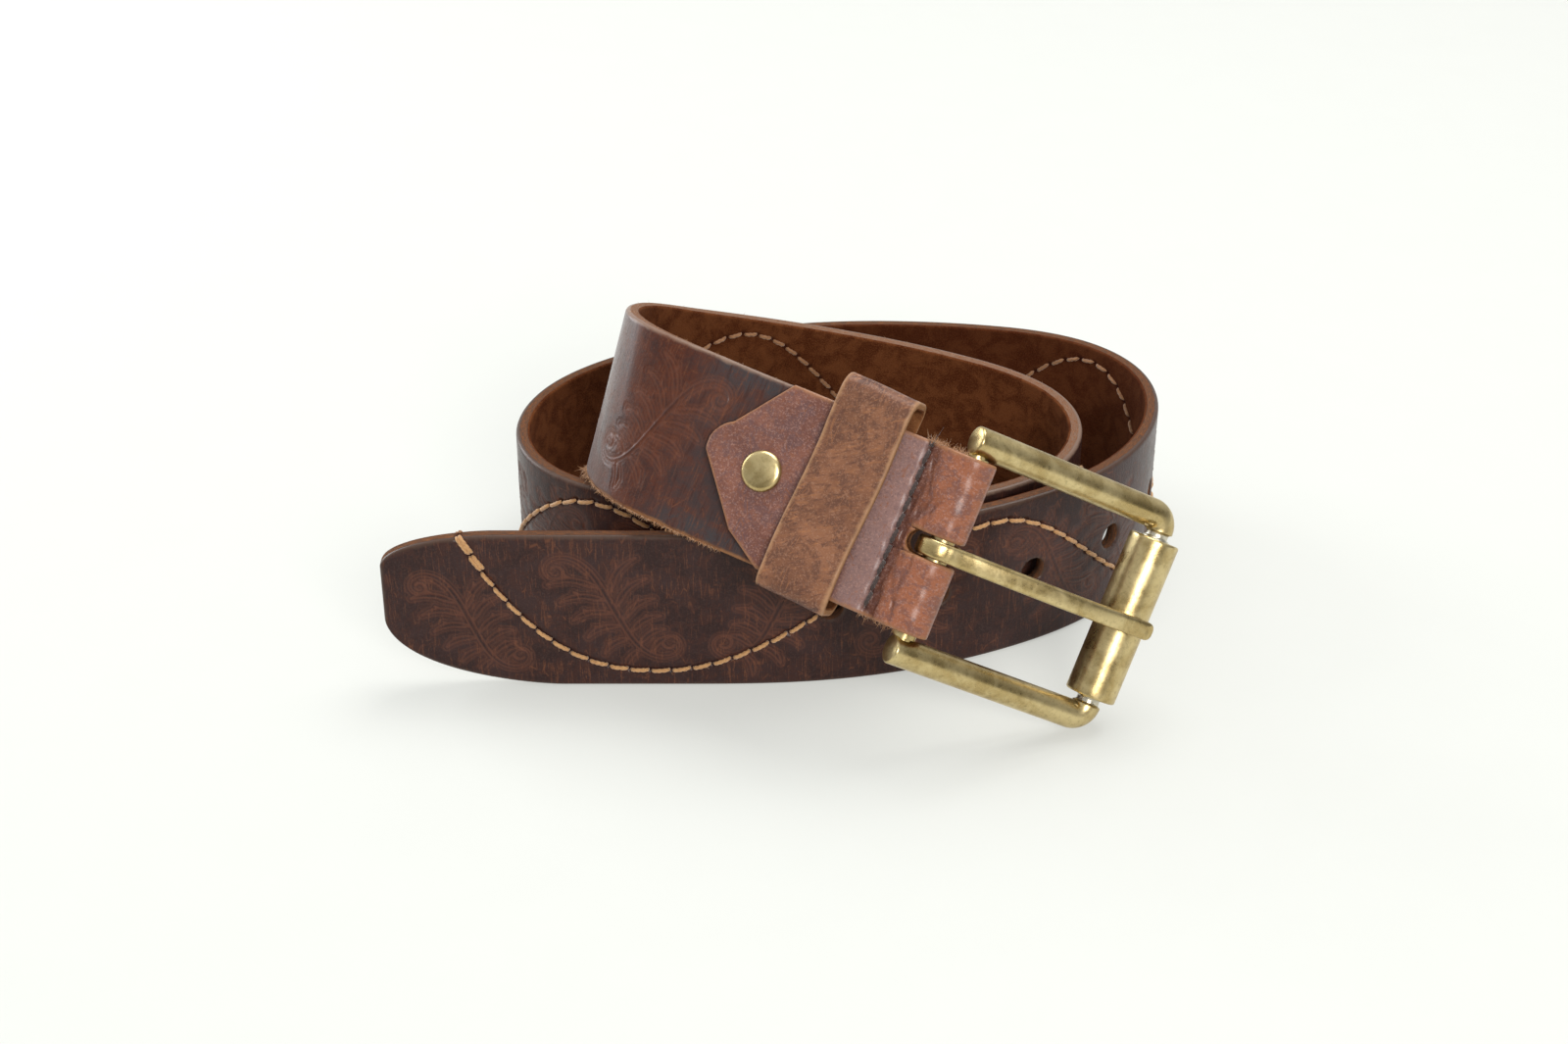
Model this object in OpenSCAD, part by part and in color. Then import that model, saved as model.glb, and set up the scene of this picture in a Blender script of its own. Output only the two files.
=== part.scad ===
// Leather belt with a roller buckle, standing on its edge in a loose two-turn coil.
// Millimetres. The coil stands on z = 0. The buckle end lies over the front of the coil.

/* [Strap] */
// Strap width
strap_w = 38; // [38:0.5:40]
// Strap thickness
strap_t = 3.2; // [2.6:0.1:3.4]
// Bevel along the strap's long edges
edge_bevel = 0.6; // [0.2:0.1:0.9]
// Diameter of the punched holes
hole_d = 6; // [4:0.5:7]
// Distance from the tip to the first punched hole
hole_first = 97; // [90:1:110]
// Distance between punched holes
hole_pitch = 24; // [20:0.5:25]
// Number of punched holes
hole_count = 5; // [3:1:5]

/* [Chape] */
// Leather thickness of the chape
chape_t = 2; // [1.6:0.1:2.2]
// Width of the chape
chape_w = 38.6; // [38:0.2:38.8]
// Width of the slot for the prong
slot_w = 5; // [4.6:0.1:6]
// Head diameter of the rivet
rivet_d = 8.8; // [7:0.2:10]

/* [Keeper] */
// Width of the keeper
keeper_w = 16; // [10:0.5:16]
// Leather thickness of the keeper
keeper_t = 1.8; // [1.4:0.1:2]
// Slant of the keeper on the strap, degrees
keeper_skew = 2.5; // [-3:0.5:3]

/* [Buckle] */
// Clear width between the buckle's arms
buckle_gap = 40; // [40:0.5:41]
// Diameter of the frame's bar
bar_d = 6.3; // [5.5:0.1:7]
// Distance from the heel bar to the crossbar
buckle_len = 47; // [44:0.5:48]
// Diameter of the heel bar
heel_d = 5.2; // [4.4:0.1:5.4]
// Outer diameter of the roller
roller_d = 11; // [10:0.2:12]
// Length of the roller
roller_len = 36.4; // [34:0.2:37]
// Width of the prong
prong_w = 3.9; // [3:0.1:4.2]
// Drop of the buckle out of the strap's plane, degrees
buckle_drop = 38; // [34:1:38]

/* [Stitching] */
// Thread diameter of the wave stitching
wave_thread = 1; // [0.6:0.1:1.2]
// Thread diameter of the chape's seam
seam_thread = 0.8; // [0.6:0.1:1]
// Stitch length of the chape's seam
seam_pitch = 3.5; // [3:0.1:4]

/* [Hidden] */

// Colours
dark_leather = [0.24, 0.16, 0.15];
tan_leather = [0.38, 0.2, 0.14];
keeper_leather = [0.45, 0.27, 0.18];
thread_tan = [0.76, 0.56, 0.32];
brass = [0.66, 0.55, 0.3];

// The strap's route from tip to buckle as arcs in plan: [length, turn to the left, degrees]
start_pos = [-88.2, -38.1, strap_w / 2];
outer_turn = [[78, 0], [78, 35], [52, 55], [42, 75], [42, 15], [73, 39], [36, 51], [36, 68]];
inner_turn = [[46, 22], [43, 20], [42, 70], [24, 70], [53, 33], [53, 50]];
raised_bend = [[20, 30], [14, 44], [14, 19]];
flat_end = [[64, 0]];
arcs = concat(outer_turn, inner_turn, raised_bend, flat_end);
// How it climbs over the coil and leans back, as [distance from the tip, degrees]
climb = [[550, 0], [600, 10], [640, 14], [680, 22], [700, 26], [718, 13], [733, -1], [742, -12]];
lean = [[560, 0], [640, -6], [712, -12], [742, -32]];
// Distance over which one bend runs into the next
blend = 12;
ring_pitch = 4.6;

// The blunt, rounded tip: how far each corner is cut along the strap and across it
tip_low = [38, 18];
tip_high = [24, 8];
tip_rings = 9;

// Clearances: bores, leather on leather, the roller on its bar, thread into leather
bore_gap = 0.02;
skin_gap = 0.1;
run_gap = 0.06;
sink = 0.2;

// The buckle end lies flat: x runs along the strap from the fold, y across it, z outwards
strap_stop = 11.5;
seam_x = -13.8;
seam_count = 10;
slot_end = -11.4;
flap_out = strap_t / 2 + skin_gap + chape_t;
flap_in = strap_t / 2 + skin_gap;
heel_r = heel_d / 2;
fold_in = heel_r + 0.08;
fold_out = fold_in + chape_t;
bar_x = -fold_out;
slope_x = -12;
// The chape's tail: its two corners, a bend in its lower side and its rounded nose
tail_corners = [[-38.5, -19.5], [-47, -14]];
tail_nose = [-52, 1.6];
tail_nose_r = 6.4;
tail_top = [-45.4, 19.5];
tail_outline = concat(tail_corners, [for (a = [195:-20:115]) tail_nose + tail_nose_r * [cos(a), sin(a)]],
    [tail_top]);

rivet_x = -45;
rivet_h = 1.9;
shank_r = 1.5;
pin_r = 0.95;

keeper_x = -28.3;
keeper_lo = -20.7;
keeper_hi = 24.3;
keeper_back = -4.1;
keeper_front = 4.7;
keeper_corner = 1.6;

bar_r = bar_d / 2;
arm_y = buckle_gap / 2 + bar_r;
bend_r = bar_r + 0.05;
arm_back = 1.9;
buckle_y = -0.4;
tenon_r = 1.8;
tenon_len = 2.2;
crossbar_r = 3;
neck_r = 2.5;
prong_y = -1;
prong_wall = 2.3;
// Prong's outline beyond its ring, in the buckle's own x and z
prong_under = [[6, 3.2], [14, 4.3], [24, 5.3], [34, 5.8], [41, 5.8], [47, 5.56], [50, 5.5]];
prong_over = [[51, 6], [51, 7], [49.5, 7.5], [45.5, 7.6], [41.5, 8.3], [34, 8.6], [24, 8.1],
    [14, 7], [6, 5.7]];

// Wave stitching: trough and crest heights from the lower edge, and where they fall by turns
wave_start = 17.4;
wave_end = 700;
wave_low = 4;
wave_high = 34.5;
wave_turns = [60, 134, 186, 234, 285, 336, 387, 438, 490, 545, 604, 664, 716];
lead_power = 2.5;
lead_rim = 0.6;
wave_step = 4.6;
round_fn = 64;
small_fn = 24;

// The route's sums, and a value eased over the blend
function sum(list, n) = n <= 0 ? 0 : list[n - 1] + sum(list, n - 1);
function mean(list) = sum(list, len(list)) / len(list);
turns = [for (i = [0:len(arcs)]) [sum([for (a = arcs) a[0]], i), sum([for (a = arcs) a[1]], i)]];
total = turns[len(arcs)][0];
strap_end = total - strap_stop;
function eased(s, table) = mean([for (k = [-3:3]) lookup(s + k * blend / 3, table)]);

// Directions along the strap, across it and outwards at a distance from the tip
function axes(s) =
    let(h = eased(s, turns), p = eased(s, climb), l = eased(s, lean),
        up = [-sin(p) * cos(h), -sin(p) * sin(h), cos(p)],
        out = [sin(h), -cos(h), 0])
    [[cos(p) * cos(h), cos(p) * sin(h), sin(p)], up * cos(l) + out * sin(l),
     out * cos(l) - up * sin(l)];

// The route's middle line, stepped along, and the frame at any distance from the tip:
// [position, along, across, outwards]
ring_count = ceil(total / ring_pitch);
ring_step = total / ring_count;
function walk(i, p) =
    i == ring_count ? [p] : concat([p], walk(i + 1, p + axes((i + 0.5) * ring_step)[0] * ring_step));
spots = walk(0, start_pos);
function at(s) =
    let(i = min(floor(s / ring_step), ring_count - 1), r = s - i * ring_step)
    concat([spots[i] + axes(s - r / 2)[0] * r], axes(s));

// A point on a frame: w up from the strap's lower edge, n out from its middle
function on(f, w, n) = f[0] + f[2] * (w - strap_w / 2) + f[3] * n;
module place(f) {
    multmatrix([[f[1][0], f[2][0], f[3][0], f[0][0]],
        [f[1][1], f[2][1], f[3][1], f[0][1]],
        [f[1][2], f[2][2], f[3][2], f[0][2]],
        [0, 0, 0, 1]])
    children();
}

// A closed skin through rings of k points each
module skin(rings) {
    k = len(rings[0]);
    last = (len(rings) - 1) * k;
    sides = [for (i = [0:len(rings) - 2]) for (j = [0:k - 1])
        let(a = i * k + j, b = i * k + (j + 1) % k)
        each [[a, b + k, b], [a, a + k, b + k]]];
    ends = [[for (j = [0:k - 1]) j], [for (j = [k - 1:-1:0]) last + j]];
    polyhedron(points = [for (r = rings) each r], faces = concat(sides, ends));
}

// Strap
tip_len = tip_low[0];
strap_s = concat([for (i = [0:tip_rings - 1]) tip_len * pow(i / (tip_rings - 1), 2)],
    [for (i = [1:ring_count]) if (i * ring_step > tip_len + 1 && i * ring_step < strap_end - 1)
        i * ring_step],
    [strap_end]);
function trim(s, corner) =
    s >= corner[0] ? 0 : corner[1] * pow(1 - sqrt(s / corner[0]), 1.5);
function strap_ring(s) =
    let(f = at(s), lo = trim(s, tip_low), hi = strap_w - trim(s, tip_high),
        h = strap_t / 2, b = edge_bevel)
    [on(f, lo + b, -h), on(f, hi - b, -h), on(f, hi, b - h), on(f, hi, h - b),
     on(f, hi - b, h), on(f, lo + b, h), on(f, lo, h - b), on(f, lo, b - h)];

module punched_holes() {
    for (i = [0:hole_count - 1])
        place(at(hole_first + i * hole_pitch))
        cylinder(h = 3 * strap_t, d = hole_d, center = true, $fn = round_fn);
}
module strap() {
    color(dark_leather)
    difference() {
        skin([for (s = strap_s) strap_ring(s)]);
        punched_holes();
        at_end()
            translate([rivet_x, 0, 0])
            cylinder(h = 3 * strap_t, r = shank_r + bore_gap, center = true, $fn = small_fn);
    }
}

// Wave stitching, one thread on each face, cut where a hole is punched through it
wave_phase = [for (i = [0:len(wave_turns) - 1]) [wave_turns[i], 180 * i]];
wave_first = wave_turns[0];
function wave_lead(s) = pow((wave_first - s) / (wave_first - wave_start), lead_power);
function wave_w(s) =
    s < wave_first
    ? wave_low + (strap_w - lead_rim - wave_low) * wave_lead(s)
    : wave_low + (wave_high - wave_low) * (1 - cos(lookup(s, wave_phase))) / 2;
module wave_thread(side) {
    r = wave_thread / 2;
    n = side * (strap_t / 2 + r - sink);
    count = floor((wave_end - wave_start) / wave_step);
    rings = [for (i = [0:count])
        let(s = wave_start + i * wave_step, f = at(s),
            run = on(at(s + 1), wave_w(s + 1), n) - on(f, wave_w(s), n),
            across = cross(f[3], run / norm(run)))
        [for (j = [0:5])
            on(f, wave_w(s), n) + across * r * cos(60 * j) - f[3] * r * sin(60 * j)]];
    color(thread_tan)
    difference() {
        skin(rings);
        punched_holes();
    }
}
module wave_thread_front() { wave_thread(1); }
module wave_thread_back() { wave_thread(-1); }

// Frames for the pieces at the buckle end
module at_end() { place(at(total)) children(); }
module at_bar() {
    at_end()
        translate([bar_x, buckle_y, 0])
        rotate([0, buckle_drop, 0])
        children();
}

// Chape, a tab folded round the heel bar
module fold_section(r, h, tail) {
    translate([bar_x, 0]) circle(r = r, $fn = round_fn);
    polygon([[bar_x, r], [slope_x, h], [tail, h], [tail, -h], [slope_x, -h], [bar_x, -r]]);
}
module chape() {
    color(tan_leather)
    at_end()
    difference() {
        intersection() {
            rotate([90, 0, 0])
                linear_extrude(chape_w, center = true)
                difference() {
                    fold_section(fold_out, flap_out, -60);
                    fold_section(fold_in, flap_in, -62);
                }
            linear_extrude(6 * chape_t, center = true)
                polygon(concat([[6, -19.5]], tail_outline, [[6, 19.5]]));
        }
        translate([slot_end, prong_y - slot_w / 2, -3 * chape_t])
            cube([2 - slot_end, slot_w, 6 * chape_t]);
        translate([rivet_x, 0, 0])
            cylinder(h = 6 * chape_t, r = shank_r + bore_gap, center = true, $fn = small_fn);
    }
}
module chape_seam(side) {
    r = seam_thread / 2;
    long = seam_pitch - 0.7;
    color(thread_tan)
    at_end()
    for (i = [0:seam_count - 1])
        translate([seam_x, (i - (seam_count - 1) / 2) * seam_pitch,
            side * (flap_out + r - sink)])
        rotate([90, 0, 0])
        cylinder(h = long, r = r, center = true, $fn = small_fn);
}
module chape_seam_front() { chape_seam(1); }
module chape_seam_back() { chape_seam(-1); }

// Keeper, a leather loop with its joint at the back
module rounded(w, h, r) {
    square([w - 2 * r, h], center = true);
    square([w, h - 2 * r], center = true);
    for (x = [-1, 1])
        for (y = [-1, 1])
            translate([x * (w / 2 - r), y * (h / 2 - r)])
            circle(r = r, $fn = small_fn);
}
keeper_mid = [(keeper_lo + keeper_hi) / 2, (keeper_back + keeper_front) / 2];
keeper_in = [keeper_hi - keeper_lo, keeper_front - keeper_back];
module at_keeper() {
    at_end()
        translate([keeper_x, 0, 0])
        rotate([0, 0, -keeper_skew])
        translate([0, keeper_mid[0], keeper_mid[1]])
        children();
}
module keeper() {
    color(keeper_leather)
    at_keeper()
    rotate([90, 0, 90])
    linear_extrude(keeper_w, center = true)
    difference() {
        rounded(keeper_in[0] + 2 * keeper_t, keeper_in[1] + 2 * keeper_t,
            keeper_corner + keeper_t);
        rounded(keeper_in[0], keeper_in[1], keeper_corner);
    }
}
module keeper_seam() {
    r = seam_thread / 2;
    color(thread_tan)
    at_keeper()
    for (i = [-1, 0, 1])
        translate([i * 5, 0, -keeper_in[1] / 2 - keeper_t - r + sink])
        rotate([90, 0, 0])
        cylinder(h = 5, r = r, center = true, $fn = small_fn);
}

// Rivet, a domed cap with a hollow shank and a post from behind
module rivet_cap() {
    a = rivet_d / 2;
    ball = (a * a + rivet_h * rivet_h) / (2 * rivet_h);
    base = flap_out + bore_gap;
    color(brass)
    at_end()
    translate([rivet_x, 0, 0])
    difference() {
        union() {
            intersection() {
                translate([0, 0, base + rivet_h - ball]) sphere(r = ball, $fn = round_fn);
                translate([0, 0, base]) cylinder(h = 2 * rivet_h, r = a, $fn = round_fn);
            }
            translate([0, 0, 0.5 - flap_out])
                cylinder(h = 2 * flap_out, r = shank_r, $fn = small_fn);
        }
        translate([0, 0, -2 * flap_out])
            cylinder(h = 3 * flap_out - 0.5, r = pin_r + bore_gap, $fn = small_fn);
    }
}
module rivet_post() {
    head = 0.9;
    color(brass)
    at_end()
    translate([rivet_x, 0, -flap_out - head - bore_gap]) {
        cylinder(h = head, r = rivet_d / 2 - 0.4, $fn = round_fn);
        cylinder(h = head + 2 * flap_out - 1, r = pin_r, $fn = small_fn);
    }
}

// Buckle
module bend(side) {
    translate([buckle_len - bend_r, side * (arm_y - bend_r), 0])
        rotate([0, 0, side > 0 ? 0 : -90])
        rotate_extrude(angle = 90, $fn = round_fn)
        translate([bend_r, 0])
        circle(r = bar_r, $fn = round_fn);
}
module buckle_frame() {
    reach = buckle_len - bend_r;
    neck_y = arm_y - bend_r;
    color(brass)
    at_bar()
    difference() {
        union() {
            for (side = [-1, 1]) {
                translate([-arm_back, side * arm_y, 0])
                    rotate([0, 90, 0])
                    cylinder(h = reach + arm_back, r = bar_r, $fn = round_fn);
                bend(side);
            }
            translate([buckle_len, 0, 0])
                rotate([90, 0, 0]) {
                    cylinder(h = 2 * neck_y, r = neck_r, center = true, $fn = round_fn);
                    cylinder(h = roller_len + 0.4, r = crossbar_r, center = true,
                        $fn = round_fn);
                }
        }
        rotate([90, 0, 0])
            cylinder(h = buckle_gap + 2 * (tenon_len + bore_gap), r = tenon_r + bore_gap,
                center = true, $fn = round_fn);
    }
}
module heel_bar() {
    color(brass)
    at_bar()
    rotate([90, 0, 0]) {
        cylinder(h = buckle_gap - 2 * bore_gap, r = heel_r, center = true, $fn = round_fn);
        cylinder(h = buckle_gap + 2 * tenon_len, r = tenon_r, center = true, $fn = round_fn);
    }
}
module prong() {
    ring_in = heel_r + run_gap;
    ring_out = ring_in + prong_wall;
    color(brass)
    at_bar()
    translate([0, prong_y - buckle_y, 0])
    rotate([90, 0, 0])
    linear_extrude(prong_w, center = true)
    difference() {
        union() {
            circle(r = ring_out, $fn = round_fn);
            polygon(concat([[0, 0]], prong_under, prong_over, [[0, ring_out]]));
        }
        circle(r = ring_in, $fn = round_fn);
    }
}
module roller() {
    color(brass)
    at_bar()
    translate([buckle_len, 0, 0])
    rotate([90, 0, 0])
    difference() {
        cylinder(h = roller_len, d = roller_d, center = true, $fn = round_fn);
        cylinder(h = roller_len + 2, r = crossbar_r + run_gap, center = true, $fn = round_fn);
    }
}

strap();
wave_thread_front();
wave_thread_back();
chape();
chape_seam_front();
chape_seam_back();
keeper();
keeper_seam();
rivet_cap();
rivet_post();
buckle_frame();
heel_bar();
prong();
roller();
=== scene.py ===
import math

import bpy
import numpy as np
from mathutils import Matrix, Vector


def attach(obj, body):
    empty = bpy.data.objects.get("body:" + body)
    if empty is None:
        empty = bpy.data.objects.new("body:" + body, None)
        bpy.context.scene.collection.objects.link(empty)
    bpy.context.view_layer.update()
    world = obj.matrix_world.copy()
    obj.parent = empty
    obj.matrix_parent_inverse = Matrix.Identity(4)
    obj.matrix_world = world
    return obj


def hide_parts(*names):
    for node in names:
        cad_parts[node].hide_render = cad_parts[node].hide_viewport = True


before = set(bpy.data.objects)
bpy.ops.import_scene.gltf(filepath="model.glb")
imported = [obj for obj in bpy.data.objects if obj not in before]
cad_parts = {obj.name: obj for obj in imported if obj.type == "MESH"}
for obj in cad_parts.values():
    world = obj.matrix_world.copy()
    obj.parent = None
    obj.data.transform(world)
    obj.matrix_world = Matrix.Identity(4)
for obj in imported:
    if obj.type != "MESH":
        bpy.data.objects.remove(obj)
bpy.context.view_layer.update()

MM = 0.001
rng = np.random.default_rng(11)

# Strap. Its route is a row of arcs from the tip (length, turn in degrees), with its climb and
# its lean in degrees against the distance from the tip. A corner of the tip is (length, depth)
STRAP_W = 38.0
STRAP_T = 3.2
HALF_T = STRAP_T / 2
HOLE_R = 3.0
HOLES = [97.0 + 24.0 * i for i in range(5)]
START = np.array([-88.2, -38.1, STRAP_W / 2])
ARCS = [(78, 0), (78, 35), (52, 55), (42, 75), (42, 15), (73, 39), (36, 51), (36, 68),
        (46, 22), (43, 20), (42, 70), (24, 70), (53, 33), (53, 50),
        (20, 30), (14, 44), (14, 19), (64, 0)]
CLIMB = [(550, 0), (600, 10), (640, 14), (680, 22), (700, 26), (718, 13), (733, -1), (742, -12)]
LEAN = [(560, 0), (640, -6), (712, -12), (742, -32)]
BLEND = 12.0
RING_PITCH = 4.6
TIP_LOW = (38.0, 18.0)
TIP_HIGH = (24.0, 8.0)
STRAP_STOP = 11.5
FRONT_BEVEL = 0.85
BACK_BEVEL = 0.5

# Chape, keeper and rivet, in the buckle end's own frame. SKIN is the gap between leathers
CHAPE_T = 2.0
SKIN = 0.1
CHAPE_Y = 19.3
SLOT_W = 5.0
SLOT_END = -11.4
PRONG_Y = -1.0
HEEL_R = 2.6
FLAP_MID = HALF_T + SKIN + CHAPE_T / 2
FOLD_MID = HEEL_R + 0.08 + CHAPE_T / 2
BAR_X = -(HEEL_R + 0.08 + CHAPE_T)
SLOPE_X = -12.0
NOSE = (-52.0, 1.6)
NOSE_R = 6.4
LOW_SHOULDER = [(-47.0, -14.0), (-38.5, -CHAPE_Y)]
HIGH_SHOULDER = (-45.4, CHAPE_Y)
PAST_FOLD = 6.0
SEAM_X = -13.8
SEAM_PITCH = 3.5
SEAM_COUNT = 10
SEAM_GAP = 0.42
SEAM_THREAD_R = 0.4
RIVET_X = -45.0
RIVET_R = 4.4
RIVET_H = 1.42
SHANK_R = 1.4
# The rivet's rim: distance inside its radius, and height
RIVET_RIM = [(0.15, 0.02), (0, 0.18), (0.03, 0.42), (0.18, 0.66), (0.42, 0.9), (0.66, 1.05)]
KEEPER_X = -28.3
KEEPER_W = 16.0
KEEPER_T = 1.8
KEEPER_SKEW = math.radians(-2.5)
KEEPER_LO = (-20.7, -4.1)
KEEPER_HI = (24.3, 4.7)
KEEPER_CORNER = 1.6
KEEPER_GAP = 0.1
KEEPER_MID_Z = (KEEPER_LO[1] + KEEPER_HI[1]) / 2

# Buckle, in the heel bar's own frame
DROP = math.radians(38)
BUCKLE_Y = -0.4
BUCKLE_LEN = 47.0
BAR_R = 3.15
ARM_Y = 20 + BAR_R
ARM_BACK = 1.9
BEND_R = BAR_R + 0.05
NECK_R = 2.5
CROSSBAR_R = 3.0
ROLLER_R = 5.5
ROLLER_LEN = 36.4
PRONG_W = 3.9
PRONG_WALL = 2.3
PRONG_LEN = 51.0
PRONG_CORNER = 0.55
# Height of the prong's middle above the heel bar's axis, and its half thickness, both
# against the distance from that axis
PRONG_BOW = [(0, 3.82), (3, 4.05), (7, 4.7), (14, 5.65), (24, 6.7), (31, 7.15), (38, 7.15),
             (42, 6.95), (45.5, 6.58), (49, 6.5), (51, 6.5)]
PRONG_THICK = [(0, 1.15), (6, 1.25), (14, 1.33), (24, 1.4), (34, 1.4), (40, 1.3), (44.5, 1.1),
               (46.5, 0.95), (49.8, 0.75), (51, 0.5)]

# Wave stitching
WAVE_START = 17.4
WAVE_END = 700.0
WAVE_LOW = 4.0
WAVE_HIGH = 34.5
WAVE_TURNS = [60, 134, 186, 234, 285, 336, 387, 438, 490, 545, 604, 664, 716]
LEAD_RIM = 0.6
LEAD_POWER = 2.5
STITCH = 4.6
THREAD_R = 0.5

# Pairs of embossed scrolls, by turns above and below the stitching: each pair's middle along
# the strap and its reach either way
BAYS = list(zip([68] + WAVE_TURNS[1:-1] + [722],
                [31, 29, 26, 26, 26, 26, 26, 27, 27, 28, 29, 29, 29]))

# Mesh detail
GRID_FINE = 0.26
GRID_S = 0.5
GRID_W = 0.34
FINE_S = [(1.1, 112.0), (690.0, 770.0)]
SHEET_STEP = 0.4
CHAPE_STEP = 0.42
KEEPER_ROWS = 320
RIM_ROWS = (0, 0.02, 0.08, 0.2, 0.4, 0.7, 1.1)
RASTER = 0.15
LEAVES = 6


# ---- The strap's route
TURNS = np.vstack([[0, 0], np.cumsum(np.array(ARCS, float), 0)])
TOTAL = TURNS[-1, 0]
STRAP_END = TOTAL - STRAP_STOP


def eased(s, table):
    """A table's value at s, averaged over BLEND to both sides."""
    xs, ys = np.array(table, float).T
    return np.mean([np.interp(s + k * BLEND / 3, xs, ys) for k in range(-3, 4)], axis=0)


def axes(s):
    """Directions along the strap, across it and outwards at distances s from the tip."""
    h, p, lean = (np.radians(eased(s, t)) for t in (TURNS, CLIMB, LEAN))
    along = np.stack([np.cos(p) * np.cos(h), np.cos(p) * np.sin(h), np.sin(p)], -1)
    up = np.stack([-np.sin(p) * np.cos(h), -np.sin(p) * np.sin(h), np.cos(p)], -1)
    out = np.stack([np.sin(h), -np.cos(h), 0 * h], -1)
    c, s = np.cos(lean)[..., None], np.sin(lean)[..., None]
    return along, up * c + out * s, out * c - up * s


RING_COUNT = math.ceil(TOTAL / RING_PITCH)
RING_STEP = TOTAL / RING_COUNT
_mids = axes((np.arange(RING_COUNT) + 0.5) * RING_STEP)[0] * RING_STEP
SPOTS = START + np.vstack([[0, 0, 0], np.cumsum(_mids, 0)])


def at(s):
    """The strap's middle point and its three directions."""
    s = np.asarray(s, float)
    i = np.clip((s // RING_STEP).astype(int), 0, RING_COUNT - 1)
    r = s - i * RING_STEP
    return (SPOTS[i] + axes(s - r / 2)[0] * r[..., None],) + axes(s)


def on_strap(s, w, n):
    """Points w up from the strap's lower edge and n out from its middle."""
    pos, _, across, out = at(s)
    w, n = np.asarray(w, float), np.asarray(n, float)
    return pos + across * (w - STRAP_W / 2)[..., None] + out * n[..., None]


END = at(TOTAL)


def at_end(x, y, z):
    """From the buckle end's frame (x along, y across, z outwards, from the fold)."""
    x, y, z = (np.asarray(v, float)[..., None] for v in (x, y, z))
    return END[0] + x * END[1] + y * END[2] + z * END[3]


def at_bar(x, y, z):
    """From the buckle's own frame, turned about the heel bar."""
    c, s = math.cos(DROP), math.sin(DROP)
    return at_end(BAR_X + x * c + z * s, y + BUCKLE_Y, z * c - x * s)


def trim(s, corner):
    """How far the strap's tip is cut back from its edge at distances s."""
    t = np.clip(s / corner[0], 0, 1)
    return corner[1] * (1 - np.sqrt(t)) ** 1.5


# ---- Mesh helpers
def put(name, data):
    """A new object in the scene."""
    obj = bpy.data.objects.new(name, data)
    bpy.context.scene.collection.objects.link(obj)
    return obj


def mesh_object(name, verts, quads, tris=(), attributes=None, body="belt", node=None, *,
                slot, material):
    """Makes one smooth piece that faces outwards and rides on its body."""
    quads = np.asarray(quads, np.int32).reshape(-1, 4)
    tris = np.asarray(tris, np.int32).reshape(-1, 3)
    verts = np.asarray(verts, float).reshape(-1, 3)
    used = np.unique(np.concatenate([quads.ravel(), tris.ravel()]))
    new = np.zeros(len(verts), np.int32)
    new[used] = np.arange(len(used))
    verts, quads, tris = verts[used], new[quads], new[tris]
    a, b, c, d = (verts[quads[:, i]] for i in range(4))
    volume = np.einsum("ij,ij->i", a, np.cross(b, c) + np.cross(c, d)).sum()
    a, b, c = (verts[tris[:, i]] for i in range(3))
    volume += np.einsum("ij,ij->i", a, np.cross(b, c)).sum()
    if volume < 0:
        quads, tris = quads[:, ::-1], tris[:, ::-1]
    mesh = bpy.data.meshes.new(name)
    mesh.from_pydata(verts * MM, [], quads.tolist() + tris.tolist())
    mesh.shade_smooth()
    for key, values in (attributes or {}).items():
        layer = mesh.attributes.new(key, "FLOAT_VECTOR", "POINT")
        layer.data.foreach_set("vector", values.reshape(-1, 3)[used].astype(np.float32).ravel())
    mesh.materials.append(material)
    obj = put(name, mesh)
    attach(obj, body)
    if node:
        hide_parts(node)


def shell(name, outer, inner, keep, place, marks, **kwargs):
    """A sheet with two faces over one grid, walled round its outline and its openings. Its
    attributes are its place in s and w with its side, and the marks of each face."""
    rows, cols = outer.shape[:2]
    size = rows * cols
    grid = np.arange(size).reshape(rows, cols)
    a, b, c, d = grid[:-1, :-1], grid[:-1, 1:], grid[1:, 1:], grid[1:, :-1]
    front = np.stack([a, b, c, d], -1)[keep]
    quads = [front, front[:, ::-1] + size]
    padded = np.pad(keep, 1)
    for near, p, q in ((padded[:-2, 1:-1], a, b), (padded[2:, 1:-1], c, d),
                       (padded[1:-1, :-2], d, a), (padded[1:-1, 2:], b, c)):
        rim = keep & ~near
        quads.append(np.stack([q[rim], p[rim], p[rim] + size, q[rim] + size], -1))
    sides = [np.stack([*place, np.full((rows, cols), side)], -1) for side in (1.0, -1.0)]
    verts, st, marks = (np.concatenate([f.reshape(-1, 3), g.reshape(-1, 3)]) for f, g in (
        (outer, inner), sides, [np.stack(m, -1) for m in marks]))
    mesh_object(name, verts, np.concatenate(quads), attributes={"st": st, "marks": marks},
                **kwargs)


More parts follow.
